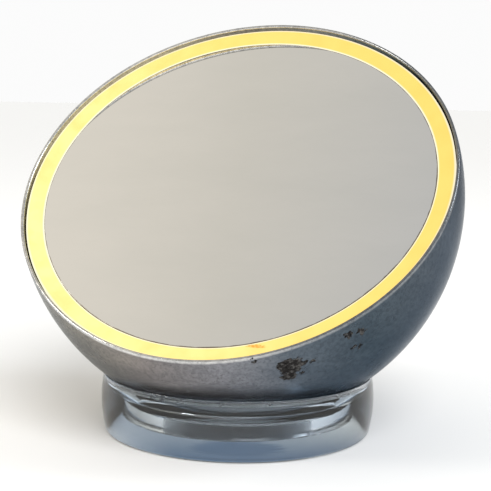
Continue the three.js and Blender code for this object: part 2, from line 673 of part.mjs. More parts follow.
const collarSeat = BALL_RADIUS + FIT;
const collarTop = collarSeat + SWITCH_COLLAR_HEIGHT;
const switchBodyTop = bearingHeight(Math.hypot(SWITCH_BODY_SIZE[0], SWITCH_BODY_SIZE[1]) / 2);
const buttonTop = collarTop + BUTTON_PROUD;
const buttonFoot = switchBodyTop + BUTTON_TRAVEL + 2 * FIT;

function switchBody() {
  const housing = boxOf(SWITCH_BODY_SIZE, switchBodyTop - SWITCH_BODY_SIZE[2]);
  const neck = discOf(SWITCH_NECK_RADIUS, switchBodyTop - FIT, collarSeat + SWITCH_COLLAR_HEIGHT / 2);
  const bore = discOf(BUTTON_RADIUS + 2 * FIT, switchBodyTop, collarTop + OVERCUT);
  return cut(join([housing, neck]), [bore]);
}

function switchCollar() {
  return turned([
    [SWITCH_NECK_RADIUS + FIT, collarSeat],
    [SWITCH_COLLAR_RADIUS, collarSeat],
    [SWITCH_COLLAR_RADIUS, collarTop - SWITCH_COLLAR_CHAMFER],
    [SWITCH_COLLAR_RADIUS - SWITCH_COLLAR_CHAMFER, collarTop],
    [SWITCH_NECK_RADIUS + FIT, collarTop],
  ], SMALL_STEPS);
}

function button() {
  return turned([
    [0, buttonFoot],
    [BUTTON_RADIUS, buttonFoot],
    [BUTTON_RADIUS, buttonTop - BUTTON_CHAMFER],
    [BUTTON_RADIUS - BUTTON_CHAMFER, buttonTop],
    [0, buttonTop + BUTTON_CROWN],
  ], SMALL_STEPS);
}

add(ball, 'switch_body', alongBack(switchBody(), switchDirection), 'blackPlastic');
add(ball, 'switch_collar', alongBack(switchCollar(), switchDirection), 'chrome');
add(ball, 'push_button', alongBack(button(), switchDirection), 'blackPlastic');

export default mirror;
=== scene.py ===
"""Lighted vanity mirror: a chromed ball, cut open by a round mirror in a glowing border, which rests
by its own weight in a seat turned in a block of clear acrylic. Metres, +Z up, origin under the
middle of the block. The face looks to -Y and up."""
import math

import bpy
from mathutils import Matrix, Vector
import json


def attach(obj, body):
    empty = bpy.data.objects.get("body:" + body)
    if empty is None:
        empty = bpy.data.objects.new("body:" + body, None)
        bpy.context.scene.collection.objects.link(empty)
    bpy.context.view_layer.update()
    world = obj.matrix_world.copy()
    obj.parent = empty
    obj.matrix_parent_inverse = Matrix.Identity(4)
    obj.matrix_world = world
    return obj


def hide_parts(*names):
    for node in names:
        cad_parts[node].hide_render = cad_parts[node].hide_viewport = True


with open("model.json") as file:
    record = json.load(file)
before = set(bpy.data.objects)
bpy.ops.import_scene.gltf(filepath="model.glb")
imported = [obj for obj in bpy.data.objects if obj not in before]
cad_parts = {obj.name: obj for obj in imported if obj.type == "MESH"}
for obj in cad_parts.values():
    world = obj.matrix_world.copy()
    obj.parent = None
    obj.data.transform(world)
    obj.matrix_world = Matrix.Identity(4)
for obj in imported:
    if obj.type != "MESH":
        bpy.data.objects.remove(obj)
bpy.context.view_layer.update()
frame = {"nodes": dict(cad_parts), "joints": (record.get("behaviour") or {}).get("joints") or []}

# --------------------------------------------------------------------------------------------
# Camera. A long lens, five and a half ball radii from the ball's middle, a little to its right
# and a little above it.

camera_data = bpy.data.cameras.new("camera")
camera = bpy.data.objects.new("camera", camera_data)
bpy.context.scene.collection.objects.link(camera)
bpy.context.scene.camera = camera
camera_data.sensor_width = 36
camera_data.lens = 88.944
camera.location = (0.29565, -0.92999, 0.26909)
camera.rotation_euler = [math.radians(turn) for turn in (82.9744, -0.9432, 17.4938)]

# --------------------------------------------------------------------------------------------
# Base block. One piece of clear cast acrylic, sawn round, turned to a bowl that the ball sits in,
# bored to a flat-bottomed well, and polished all over. It is scuffed dull round its foot.

ball_centre = Vector(next(j["pos_m"] for j in frame["joints"] if j["name"] == "tilt"))
ball_radius = 0.178
seat_radius = ball_radius + 0.0006
foot_radius = 0.1084
foot_round = 0.0026
lip_radius = 0.1093
lip_flat = 0.0007
wall_swell = 0.0024
well_radius = 0.062
well_chamfer = 0.0022
well_floor = 0.0095
cushion_angle = math.radians(35.2)
cushion_gap = 0.0003
cushion_thickness = 0.002
cushion_half = 0.0018 / ball_radius


def on_sphere(radius, angle):
    """A point of an outline on a sphere about the ball's centre, its angle from straight down."""
    return radius * math.sin(angle), ball_centre.z - radius * math.cos(angle)


def sphere_run(radius, start, end, steps):
    return [on_sphere(radius, start + (end - start) * i / steps) for i in range(steps + 1)]


def round_run(middle, radius, start, end, steps):
    """Points round a corner, its angles in degrees from the outward direction."""
    turns = [math.radians(start + (end - start) * i / steps) for i in range(steps + 1)]
    return [(middle[0] + radius * math.cos(a), middle[1] + radius * math.sin(a)) for a in turns]


def turn_on_lathe(name, outline, steps=256, soft_edge=28):
    """Draws an outline of (radius, height) points from one vertex and spins it about the upright."""
    bpy.ops.object.select_all(action="DESELECT")
    bpy.ops.mesh.primitive_plane_add(size=0.01, location=(0, 0, 0))
    piece = bpy.context.object
    piece.name = piece.data.name = name
    bpy.ops.object.mode_set(mode="EDIT")
    bpy.ops.mesh.select_mode(type="VERT")
    bpy.ops.mesh.select_all(action="SELECT")
    bpy.ops.mesh.merge(type="CENTER")
    bpy.ops.transform.translate(value=(outline[0][0], 0, outline[0][1]))
    if outline[0][0] > 0:
        outline = [*outline, outline[0]]
    for here, there in zip(outline, outline[1:]):
        step = (there[0] - here[0], 0, there[1] - here[1])
        bpy.ops.mesh.extrude_region_move(TRANSFORM_OT_translate={"value": step})
    bpy.ops.mesh.select_all(action="SELECT")
    bpy.ops.mesh.remove_doubles(threshold=2e-6)
    bpy.ops.mesh.spin(steps=steps, angle=2 * math.pi, center=(0, 0, 0), axis=(0, 0, 1))
    bpy.ops.mesh.select_all(action="SELECT")
    bpy.ops.mesh.remove_doubles(threshold=2e-6)
    bpy.ops.mesh.normals_make_consistent(inside=False)
    bpy.ops.object.mode_set(mode="OBJECT")
    bpy.ops.object.shade_smooth_by_angle(angle=math.radians(soft_edge))
    return piece


wall_foot = (foot_radius, foot_round)
lip_end = on_sphere(seat_radius, math.asin((lip_radius - lip_flat) / seat_radius))
lip_corner = on_sphere(seat_radius, math.asin(lip_radius / seat_radius))
wall_top = (lip_radius, lip_corner[1] - lip_flat)
wall_steps = 24
block_wall = []
for t in [i / wall_steps for i in range(1, wall_steps + 1)]:
    swell = 4 * wall_swell * t * (1 - t)
    block_wall.append((
        wall_foot[0] + (wall_top[0] - wall_foot[0]) * t + swell,
        wall_foot[1] + (wall_top[1] - wall_foot[1]) * t,
    ))
lip_steps = 5
lip = []
for t in [i / lip_steps for i in range(1, lip_steps)]:
    lip.append(tuple(
        (1 - t) ** 2 * a + 2 * t * (1 - t) * b + t**2 * c
        for a, b, c in zip(wall_top, lip_corner, lip_end)
    ))
groove_half = cushion_half + cushion_gap / ball_radius
groove_radius = ball_radius + 2 * cushion_gap + cushion_thickness
lip_angle = math.asin((lip_radius - lip_flat) / seat_radius)
well_angle = math.asin((well_radius + well_chamfer) / seat_radius)
well_edge = on_sphere(seat_radius, well_angle)
well_round = 0.0012
block = turn_on_lathe("acrylic_block", [
    (0, 0),
    *round_run((foot_radius - foot_round, foot_round), foot_round, -90, 0, 10),
    *block_wall,
    *lip,
    *sphere_run(seat_radius, lip_angle, cushion_angle + groove_half, 4),
    *sphere_run(groove_radius, cushion_angle + groove_half, cushion_angle - groove_half, 4),
    *sphere_run(seat_radius, cushion_angle - groove_half, well_angle, 40),
    (well_radius, well_edge[1] - well_chamfer),
    *round_run((well_radius - well_round, well_floor + well_round), well_round, 0, -90, 6),
    (0, well_floor),
])


def add_node(tree, kind, inputs, **options):
    """Adds a shader node, sets its options and gives each input a value or another's output."""
    node = tree.nodes.new("ShaderNode" + kind)
    for name, value in options.items():
        setattr(node, name, value)
    feed(tree, node, inputs)
    return node


def feed(tree, node, inputs):
    for name, value in inputs.items():
        if isinstance(value, bpy.types.NodeSocket):
            tree.links.new(value, node.inputs[name])
        else:
            node.inputs[name].default_value = value


def new_finish(name):
    finish = bpy.data.materials.new(name)
    finish.use_nodes = True
    return finish, finish.node_tree, finish.node_tree.nodes["Principled BSDF"]


def piece_place(tree):
    return add_node(tree, "TexCoord", {}).outputs["Object"]


def grain(tree, place, scale, detail=3, rough=0.5):
    inputs = {"Vector": place, "Scale": scale, "Detail": detail, "Roughness": rough}
    return add_node(tree, "TexNoise", inputs).outputs["Fac"]


def spread(tree, value, low, high, out_low=0.0, out_high=1.0):
    """Stretches a value from one range to another and holds it there."""
    inputs = {0: value, 1: low, 2: high, 3: out_low, 4: out_high}
    return add_node(tree, "MapRange", inputs).outputs[0]


def maths(tree, operation, first, second):
    return add_node(tree, "Math", {0: first, 1: second}, operation=operation).outputs[0]


def colours(tree, value, stops):
    """A run of colours along a value from 0 to 1."""
    node = add_node(tree, "ValToRGB", {0: value})
    elements = node.color_ramp.elements
    while len(elements) < len(stops):
        elements.new(0.5)
    for element, (at, colour) in zip(elements, stops):
        element.position = at
        element.color = (*colour, 1)
    return node.outputs[0]


def layer(tree, share, under, over, blend="MIX"):
    """Lays one colour over another by a share."""
    inputs = {0: share, 6: under, 7: over}
    return add_node(tree, "Mix", inputs, data_type="RGBA", blend_type=blend).outputs[2]


def bumps(tree, height, depth, strength=1.0):
    inputs = {"Height": height, "Distance": depth, "Strength": strength}
    return add_node(tree, "Bump", inputs).outputs[0]


def clear_acrylic():
    """Blue-grey in depth, with turning marks round it and a dull scuffed band at the foot."""
    finish, tree, shader = new_finish("cast acrylic")
    scuffed_height = 0.014
    place = piece_place(tree)
    height = add_node(tree, "SeparateXYZ", {0: place}).outputs[2]
    ring_marks = add_node(tree, "Mapping", {0: place, 3: (14, 14, 700)}).outputs[0]
    marks = grain(tree, ring_marks, 1.0, 5, 0.6)
    scuffs = spread(tree, grain(tree, place, 160, 6, 0.7), 0.56, 0.72)
    near_foot = spread(tree, height, 0.0, scuffed_height, 1.0, 0.0)
    dull = maths(tree, "MULTIPLY", scuffs, near_foot)
    tint = colours(tree, grain(tree, place, 9, 2), [
        (0.3, (0.83, 0.87, 0.905)),
        (0.7, (0.88, 0.91, 0.935)),
    ])
    feed(tree, shader, {
        "Base Color": tint,
        "Roughness": spread(tree, dull, 0.0, 1.0, 0.0, 0.16),
        "Normal": bumps(tree, marks, 0.00006, 0.35),
        "IOR": 1.49,
        "Transmission Weight": 1.0,
    })
    depth = add_node(tree, "VolumeAbsorption", {"Color": (0.56, 0.70, 0.82, 1), "Density": 5.0})
    feed(tree, tree.nodes["Material Output"], {"Volume": depth.outputs[0]})
    return finish


def hand_over(piece, finish, slot, body, *nodes):
    """Gives a finished piece its finish and its body, and hides the nodes it stands for. The slot is
    not used.
    """
    piece.data.materials.clear()
    piece.data.materials.append(finish)
    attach(piece, body)
    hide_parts(*nodes)


hand_over(block, clear_acrylic(), "clear_acrylic", "base", "base_block")

# --------------------------------------------------------------------------------------------
# Seat cushion. A band of soft clear vinyl let into a groove round the bowl. The ball turns and
# leans on it without touching the acrylic. Its corners are rounded and it has gone a little milky.

cushion_inner = ball_radius + cushion_gap
cushion_corner = 0.0005
half_length = cushion_half * ball_radius
half_thick = cushion_thickness / 2
section = []
for quarter, (along, across) in enumerate(((1, 1), (-1, 1), (-1, -1), (1, -1))):
    middle = (along * (half_length - cushion_corner), across * (half_thick - cushion_corner))
    section += round_run(middle, cushion_corner, 90 * quarter, 90 * quarter + 90, 5)
cushion = turn_on_lathe("vinyl_cushion", [
    on_sphere(cushion_inner + half_thick + across, cushion_angle + along / ball_radius)
    for along, across in section
])


def milky_vinyl():
    finish, tree, shader = new_finish("clear vinyl")
    place = piece_place(tree)
    haze = grain(tree, place, 60, 4, 0.6)
    feed(tree, shader, {
        "Base Color": colours(tree, haze, [(0.3, (0.78, 0.80, 0.81)), (0.75, (0.92, 0.93, 0.93))]),
        "Roughness": spread(tree, haze, 0.3, 0.7, 0.22, 0.4),
        "Normal": bumps(tree, grain(tree, place, 900, 2), 0.00005, 0.3),
        "IOR": 1.5,
        "Transmission Weight": 0.85,
    })
    return finish


hand_over(cushion, milky_vinyl(), "clear_vinyl", "cushion", "seat_cushion")

# --------------------------------------------------------------------------------------------
# Ball shell. Spun sheet steel, chromed, its edge rolled over into a bead round the mouth and its
# back pierced for the cord and the switch. The plate is old: clouded, finely pitted, and eaten
# through in a few dark spots low on the front.

shell_wall = 0.0012
bead_radius = 0.0013
bead_height = 0.0252
bead_roll = 235
bead_circle = math.sqrt((ball_radius - bead_radius) ** 2 - bead_height**2)
bead_start = math.degrees(math.atan2(bead_height, bead_circle))
face_tilt = math.radians(45)
hole_length = 0.04
gland_back = math.radians(45)
gland_neck = 0.006
switch_back = math.radians(62)
switch_side = math.radians(25)
switch_neck = 0.007
hole_gap = 0.0003


def back_direction(back, side):
    """A direction on the ball's back, with the face's middle along +Z."""
    out = math.sin(back)
    return Vector((out * math.sin(side), out * math.cos(side), -math.cos(back)))


def pick(piece):
    """Selects one piece alone and makes it the active one."""
    bpy.ops.object.select_all(action="DESELECT")
    piece.select_set(True)
    bpy.context.view_layer.objects.active = piece


def set_in_ball(piece):
    """Leans a piece made about the face's own middle line back into the ball."""
    pick(piece)
    piece.rotation_euler = (face_tilt, 0, 0)
    piece.location = ball_centre
    bpy.ops.object.transform_apply(location=True, rotation=True, scale=True)


def apply_all(piece):
    pick(piece)
    for name in [modifier.name for modifier in piece.modifiers]:
        bpy.ops.object.modifier_apply(modifier=name)


def cut_hole(piece, radius, direction):
    """Drills a round hole through the ball's wall, along a direction from its centre."""
    bpy.ops.object.select_all(action="DESELECT")
    bpy.ops.mesh.primitive_cylinder_add(
        vertices=64, radius=radius, depth=hole_length, location=direction * ball_radius,
        rotation=direction.to_track_quat("Z", "Y").to_euler(),
    )
    drill = bpy.context.object
    hole = piece.modifiers.new("hole", "BOOLEAN")
    hole.object = drill
    hole.solver = "EXACT"
    apply_all(piece)
    bpy.data.objects.remove(drill)


bpy.ops.object.select_all(action="DESELECT")
bpy.ops.mesh.primitive_uv_sphere_add(segments=256, ring_count=128, radius=ball_radius)
shell = bpy.context.object
shell.name = shell.data.name = "chrome_shell"
bpy.ops.object.mode_set(mode="EDIT")
bpy.ops.mesh.select_all(action="SELECT")
mouth = round_run((bead_circle, bead_height), bead_radius, bead_start, bead_start + bead_roll, 18)
bpy.ops.mesh.bisect(plane_co=(0, 0, mouth[0][1]), plane_no=(0, 0, 1), clear_outer=True)
bpy.ops.mesh.select_mode(type="EDGE")
bpy.ops.mesh.select_all(action="DESELECT")
bpy.ops.mesh.select_non_manifold(extend=False)
for here, there in zip(mouth, mouth[1:]):
    bpy.ops.mesh.extrude_region_move(
        TRANSFORM_OT_translate={"value": (0, 0, there[1] - here[1])}
    )
    narrow = there[0] / here[0]
    bpy.ops.transform.resize(value=(narrow, narrow, 1), center_override=(0, 0, there[1]))
bpy.ops.mesh.select_all(action="SELECT")
bpy.ops.mesh.normals_make_consistent(inside=False)
bpy.ops.object.mode_set(mode="OBJECT")
wall = shell.modifiers.new("wall", "SOLIDIFY")
wall.thickness = shell_wall
wall.offset = -1
wall.use_even_offset = True
apply_all(shell)
gland_direction = back_direction(gland_back, 0)
switch_direction = back_direction(switch_back, switch_side)
cut_hole(shell, gland_neck + hole_gap, gland_direction)
cut_hole(shell, switch_neck + hole_gap, switch_direction)
bpy.ops.object.shade_smooth_by_angle(angle=math.radians(28))
set_in_ball(shell)

# Middle and size of each spot where the plate is gone.
eaten_spots = (
    ((0.0750, -0.1190, 0.0805), 0.0100),
    ((0.0815, -0.1172, 0.0820), 0.0072),
    ((0.0740, -0.1120, 0.0725), 0.0072),
    ((0.0861, -0.1151, 0.0834), 0.0030),
    ((0.0910, -0.1116, 0.0838), 0.0028),
    ((0.0819, -0.1097, 0.0746), 0.0026),
    ((0.1155, -0.1055, 0.1030), 0.0042),
    ((0.1230, -0.0985, 0.1042), 0.0046),
    ((0.1201, -0.0909, 0.0936), 0.0030),
    ((0.1155, -0.0959, 0.0927), 0.0028),
    ((0.0537, -0.1350, 0.0855), 0.0026),
)


def face_place(tree):
    """The place on a piece in the face's own frame, its middle at the ball's centre."""
    back = -face_tilt
    middle = Vector((
        0, ball_centre.z * math.sin(back), -ball_centre.z * math.cos(back),
    ))
    inputs = {0: piece_place(tree), 1: middle, 2: (back, 0, 0)}
    return add_node(tree, "Mapping", inputs).outputs[0]


def vectors(tree, operation, inputs):
    return add_node(tree, "VectorMath", inputs, operation=operation).outputs


def eaten_places(tree, place, spots):
    """How far the plate is gone at a place: round each spot, with a torn and pitted edge."""
    tear = 0.016
    wander = {"Vector": place, "Scale": 150.0, "Detail": 5.0, "Roughness": 0.7}
    wander = add_node(tree, "TexNoise", wander).outputs["Color"]
    wander = vectors(tree, "SUBTRACT", {0: wander, 1: (0.5, 0.5, 0.5)})[0]
    wander = vectors(tree, "SCALE", {0: wander, "Scale": tear})[0]
    torn = vectors(tree, "ADD", {0: place, 1: wander})[0]
    shares = []
    for middle, size in spots:
        away = vectors(tree, "DISTANCE", {0: torn, 1: middle})[1]
        shares.append(spread(tree, away, size, size * 0.55))
    share = shares[0]
    for other in shares[1:]:
        share = maths(tree, "MAXIMUM", share, other)
    ragged = grain(tree, place, 420, 4, 0.75)
    return spread(tree, maths(tree, "ADD", share, ragged), 0.85, 1.05)


def painted_bead_highlight(tree, side):
    """How strong the painted highlight along the bead's crest is, more so on the left."""
    bright_from = bead_height - 0.0016
    fully_bright = bead_height - 0.0004
    forward = add_node(tree, "SeparateXYZ", {0: face_place(tree)}).outputs[2]
    on_bead = spread(tree, forward, bright_from, fully_bright)
    return maths(tree, "MULTIPLY", on_bead, spread(tree, side, 0.45, 0.8, 0.9, 0.25))


def aged_chrome_painted_reflection(name, spots=()):
    """Clouded, freckled and pitted plate, with a painted reflection: its colour runs warm on the
    left to dark blue on the right. Only the shell has spots, where it is eaten through to dark
    steel, and a painted highlight along its bead, stronger on the left."""
    finish, tree, shader = new_finish(name)
    place = piece_place(tree)
    across = add_node(tree, "SeparateXYZ", {0: place}).outputs[0]
    cloud = grain(tree, place, 14, 6, 0.62)
    wiped = add_node(tree, "Mapping", {0: place, 3: (5, 5, 26)}).outputs[0]
    wiped = spread(tree, grain(tree, wiped, 3.0, 4), 0.45, 0.7, 0.0, 0.6)
    side = spread(tree, across, -ball_radius - 0.002, ball_radius + 0.002)
    # Painted reflection: the plate's colour runs warm on the left to dark blue on the right,
    # standing in for the surroundings seen in the chrome.
    plate = colours(tree, side, [
        (0.0, (0.60, 0.53, 0.40)),
        (0.22, (0.47, 0.43, 0.36)),
        (0.42, (0.30, 0.275, 0.265)),
        (0.58, (0.30, 0.30, 0.32)),
        (0.72, (0.135, 0.162, 0.192)),
        (0.85, (0.090, 0.118, 0.142)),
        (1.0, (0.115, 0.130, 0.150)),
    ])
    if spots:
        # Painted highlight: a near-white stripe along the bead's crest, stronger on the left.
        plate = layer(tree, painted_bead_highlight(tree, side), plate, (0.86, 0.85, 0.83, 1))
    clouds = spread(tree, cloud, 0.35, 0.7)
    freckles = spread(tree, grain(tree, place, 330, 3, 0.75), 0.42, 0.62)
    pits = spread(tree, grain(tree, place, 620, 2, 0.8), 0.62, 0.70)
    plate = layer(tree, clouds, plate, (0.74, 0.76, 0.78, 1), "MULTIPLY")
    plate = layer(tree, wiped, plate, (1.35, 1.32, 1.28, 1), "MULTIPLY")
    plate = layer(tree, freckles, plate, (0.72, 0.72, 0.73, 1), "MULTIPLY")
    plate = layer(tree, maths(tree, "MULTIPLY", pits, 0.6), plate, (0.05, 0.048, 0.046, 1))
    dull = spread(tree, cloud, 0.3, 0.7, 0.17, 0.30)
    heights = maths(tree, "SUBTRACT", cloud, pits)
    if spots:
        eaten = eaten_places(tree, place, spots)
        dark_steel = colours(tree, grain(tree, place, 380, 4, 0.7), [
            (0.38, (0.016, 0.015, 0.015)),
            (0.52, (0.050, 0.046, 0.044)),
            (0.64, (0.17, 0.165, 0.16)),
        ])
        plate = layer(tree, eaten, plate, dark_steel)
        dull = maths(tree, "ADD", dull, maths(tree, "MULTIPLY", eaten, 0.4))
        heights = maths(tree, "SUBTRACT", heights, maths(tree, "MULTIPLY", eaten, 1.5))
    feed(tree, shader, {
        "Base Color": plate,
        "Metallic": 1.0,
        "Specular Tint": (0.50, 0.53, 0.57, 1),
        "Roughness": dull,
        "Normal": bumps(tree, heights, 0.00012, 0.5),
    })
    return finish


hand_over(shell, aged_chrome_painted_reflection("aged chrome", eaten_spots), "chrome", "ball", "ball_shell")

# --------------------------------------------------------------------------------------------
# Glowing border. A ring of opal acrylic, rabbeted for the mirror and dished, so that it climbs
# from the glass to the bead. Its glow is painted light: it gives off light of its own in place of
# the lamp shining through it, paler on its left than on its right, and a little orange rust has run
# on to it from the bead.

face_height = 0.019
mirror_radius = 0.1588
mirror_thickness = 0.003
border_radius = 0.1730
border_rise = 0.0032
border_back = face_height - 0.0063
border_ledge = 0.007
border_round = 0.0008
border_inner_round = 0.0003
border_bore = mirror_radius + hole_gap
ledge_top = face_height - mirror_thickness - hole_gap
border = turn_on_lathe("opal_border", [
    (mirror_radius - border_ledge, border_back),
    (border_radius, border_back),
    *round_run((border_radius - border_round, face_height + border_rise - border_round),
               border_round, 0, 90, 8),
    *round_run((border_bore + border_inner_round, face_height - border_inner_round),
               border_inner_round, 90, 180, 4),
    (border_bore, ledge_top),
    (mirror_radius - border_ledge, ledge_top),
])
set_in_ball(border)


def from_middle(tree, place):
    """How far a place is from the face's middle line."""
    flat = vectors(tree, "MULTIPLY", {0: place, 1: (1, 1, 0)})[0]
    return vectors(tree, "LENGTH", {0: flat})[1]


def rust_run(tree, place):
    """How rusty the border is at a place: a thin blot that lies along it, broken into flecks."""
    blot_middle = (0.0515, -0.1540, face_height)
    blot_turn = math.radians(-17)
    blot_reach = 0.0125
    blot_narrow = 4.2
    away = vectors(tree, "SUBTRACT", {0: place, 1: blot_middle})[0]
    away = add_node(tree, "Mapping", {0: away, 2: (0, 0, blot_turn), 3: (1, blot_narrow, 1)})
    away = vectors(tree, "LENGTH", {0: away.outputs[0]})[1]
    torn = maths(tree, "MULTIPLY", grain(tree, place, 330, 4, 0.7), 1.2)
    blot = maths(tree, "ADD", spread(tree, away, blot_reach, 0.001), torn)
    flecks = spread(tree, grain(tree, place, 560, 3, 0.8), 0.40, 0.60, 0.25, 1.0)
    return maths(tree, "MULTIPLY", spread(tree, blot, 0.98, 1.22), flecks)


def painted_pale_edges(tree, radius):
    """How near a place is to the border's outer or inner edge, where a paler glow is painted."""
    outer_from = border_radius - 0.0020
    outer_full = border_radius - 0.0003
    inner_from = mirror_radius + 0.0016
    inner_full = mirror_radius + 0.0004
    outer_edge = spread(tree, radius, outer_from, outer_full)
    inner_edge = spread(tree, radius, inner_from, inner_full)
    return maths(tree, "MAXIMUM", outer_edge, inner_edge)


def opal_with_painted_glow():
    finish, tree, shader = new_finish("lit opal acrylic")
    place = face_place(tree)
    radius = from_middle(tree, place)
    parts = add_node(tree, "SeparateXYZ", {0: place}).outputs
    slant = maths(tree, "ADD", parts[0], maths(tree, "MULTIPLY", parts[1], 0.55))
    side = spread(tree, slant, -0.19, 0.17)
    # Painted glow: the border gives off light of its own, pale yellow on its left to orange on its
    # right, standing in for the lamp behind it.
    glow = colours(tree, side, [
        (0.0, (1.0, 0.92, 0.38)),
        (0.35, (1.0, 0.82, 0.29)),
        (0.6, (1.0, 0.73, 0.20)),
        (1.0, (1.0, 0.68, 0.165)),
    ])
    mottle = layer(tree, spread(tree, grain(tree, place, 45, 4), 0.40, 0.66, 0.0, 0.34),
                   glow, (1.0, 0.60, 0.12, 1))
    # Painted light: the glow is made paler near the border's outer and inner edges.
    edges = maths(tree, "MULTIPLY", painted_pale_edges(tree, radius), 0.85)
    pale = layer(tree, edges, mottle, (1.0, 1.0, 0.86, 1))
    stained = layer(tree, rust_run(tree, place), pale, (0.80, 0.32, 0.02, 1))
    feed(tree, shader, {
        "Base Color": layer(tree, 1.0, stained, (0.22, 0.20, 0.16, 1), "MULTIPLY"),
        "Emission Color": stained,
        "Emission Strength": 0.88,
        "Roughness": spread(tree, grain(tree, place, 120, 3), 0.3, 0.7, 0.28, 0.4),
        "Normal": bumps(tree, grain(tree, place, 700, 2), 0.00003, 0.3),
    })
    return finish


hand_over(border, opal_with_painted_glow(), "opal_border", "ball", "diffuser_ring")

# --------------------------------------------------------------------------------------------
# Mirror. A disc of silvered float glass with its arris ground off, bedded flush in the border.
# Its colour is darker in a hairline round the edge, and the face is faintly smeared.

bpy.ops.object.select_all(action="DESELECT")
bpy.ops.mesh.primitive_cylinder_add(
    vertices=256, radius=mirror_radius, depth=mirror_thickness,
    location=(0, 0, face_height - mirror_thickness / 2),
)
mirror = bpy.context.object
mirror.name = mirror.data.name = "silvered_mirror"
bpy.ops.object.transform_apply(location=True, rotation=True, scale=True)
bpy.ops.object.mode_set(mode="EDIT")
bpy.ops.mesh.select_mode(type="EDGE")
bpy.ops.mesh.select_all(action="DESELECT")
bpy.ops.object.mode_set(mode="OBJECT")
for edge in mirror.data.edges:
    ends = [mirror.data.vertices[v].co.z for v in edge.vertices]
    edge.select = abs(ends[0] - ends[1]) < 1e-6
bpy.ops.object.mode_set(mode="EDIT")
bpy.ops.mesh.bevel(offset=0.0004, segments=2, affect="EDGES")
bpy.ops.object.mode_set(mode="OBJECT")
bpy.ops.object.shade_smooth_by_angle(angle=math.radians(28))
set_in_ball(mirror)


def silvered_glass():
    finish, tree, shader = new_finish("silvered glass")
    place = face_place(tree)
    radius = from_middle(tree, place)
    wiped = add_node(tree, "Mapping", {0: place, 2: (0, 0, 0.6), 3: (9, 22, 9)}).outputs[0]
    smear = grain(tree, wiped, 1.0, 6, 0.65)
    silver = colours(tree, smear, [(0.3, (0.86, 0.855, 0.84)), (0.7, (0.90, 0.89, 0.875))])
    ragged = maths(tree, "MULTIPLY", grain(tree, place, 90, 4, 0.7), 0.0016)
    edge = maths(tree, "ADD", radius, ragged)
    dark_edge = spread(tree, edge, mirror_radius, mirror_radius + 0.0006)
    blunt = maths(tree, "MULTIPLY", dark_edge, 0.5)
    feed(tree, shader, {
        "Base Color": layer(tree, dark_edge, silver, (0.20, 0.165, 0.12, 1)),
        "Metallic": 1.0,
        "Roughness": maths(tree, "ADD", blunt, spread(tree, smear, 0.35, 0.8, 0.0, 0.05)),
    })
    return finish


hand_over(mirror, silvered_glass(), "silvered_glass", "ball", "mirror_glass")

# --------------------------------------------------------------------------------------------
# Carrier, foam pads and face clips. A spoked plate of zinc-plated steel lies under the border and
# lets the light past. Three foam pads stick the glass to it, and four spring-steel clips hold it
# in the ball's mouth.


def mottled_finish(name, light, dark, rough, grain_scale, depth, metallic=0.0, coat=0.0):
    """A finish whose colour and gloss wander over a grain of so many repeats to the metre."""
    finish, tree, shader = new_finish(name)
    place = piece_place(tree)
    drift = grain(tree, place, 30, 5, 0.6)
    fine = grain(tree, place, grain_scale, 3, 0.6)
    feed(tree, shader, {
        "Base Color": layer(tree, spread(tree, drift, 0.3, 0.7), (*light, 1), (*dark, 1)),
        "Metallic": metallic,
        "Roughness": spread(tree, fine, 0.3, 0.7, rough[0], rough[1]),
        "Normal": bumps(tree, fine, depth, 0.6),
        "Coat Weight": coat,
    })
    return finish


def dress(finish, *names):
    """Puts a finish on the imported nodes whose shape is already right."""
    for name in names:
        slots = frame["nodes"][name].data.materials
        slots.clear()
        slots.append(finish)


def numbered(stem, count):
    return [f"{stem}_{i + 1}" for i in range(count)]


zinc = mottled_finish(
    "zinc plate", (0.62, 0.63, 0.62), (0.46, 0.47, 0.50),
    rough=(0.25, 0.5), grain_scale=260, depth=0.00004, metallic=0.9,
)
spring = mottled_finish(
    "spring steel", (0.42, 0.44, 0.47), (0.25, 0.26, 0.30),
    rough=(0.2, 0.38), grain_scale=500, depth=0.00003, metallic=1.0,
)
dress(zinc, "face_carrier")
dress(spring, *numbered("face_clip", 4))

pad_radius = 0.020
pad_circle = 0.090
pad_foot = border_back
pad_thick = ledge_top - border_back
pad_squeeze = 0.0006
pad_steps = 8
pad_count = 3
pad = turn_on_lathe("foam_pad_1", [
    (0, pad_foot),
    (pad_radius - 2 * pad_squeeze, pad_foot),
    *[(pad_radius - pad_squeeze * (1 - math.sin(math.pi * t)), pad_foot + pad_thick * t)
      for t in [i / pad_steps for i in range(pad_steps + 1)]],
    (pad_radius - 2 * pad_squeeze, pad_foot + pad_thick),
    (0, pad_foot + pad_thick),
], steps=64)


def closed_foam():
    finish, tree, shader = new_finish("closed-cell foam")
    place = piece_place(tree)
    cells = add_node(tree, "TexVoronoi", {"Vector": place, "Scale": 1600}).outputs["Distance"]
    feed(tree, shader, {
        "Base Color": colours(tree, cells, [
            (0.0, (0.028, 0.029, 0.031)),
            (0.7, (0.075, 0.077, 0.08)),
        ]),
        "Roughness": 0.95,
        "Normal": bumps(tree, cells, 0.0003, 0.8),
    })
    return finish


foam = closed_foam()
pads = [pad]
while len(pads) < pad_count:
    pick(pad)
    bpy.ops.object.duplicate()
    pads.append(bpy.context.object)
for i, (name, piece) in enumerate(zip(numbered("foam_pad", pad_count), pads)):
    turn = math.radians(90 + 360 / pad_count * i)
    piece.name = piece.data.name = name
    pick(piece)
    piece.location = (pad_circle * math.cos(turn), pad_circle * math.sin(turn), 0)
    bpy.ops.object.transform_apply(location=True, rotation=True, scale=True)
    set_in_ball(piece)
    hand_over(piece, foam, "foam", "ball", f"mirror_pad_{i + 1}")

# --------------------------------------------------------------------------------------------
# Lamp pan. A spun steel dish stoved white on both sides, screwed by its flange to four
# zinc-plated angles that are spot-welded inside the ball.

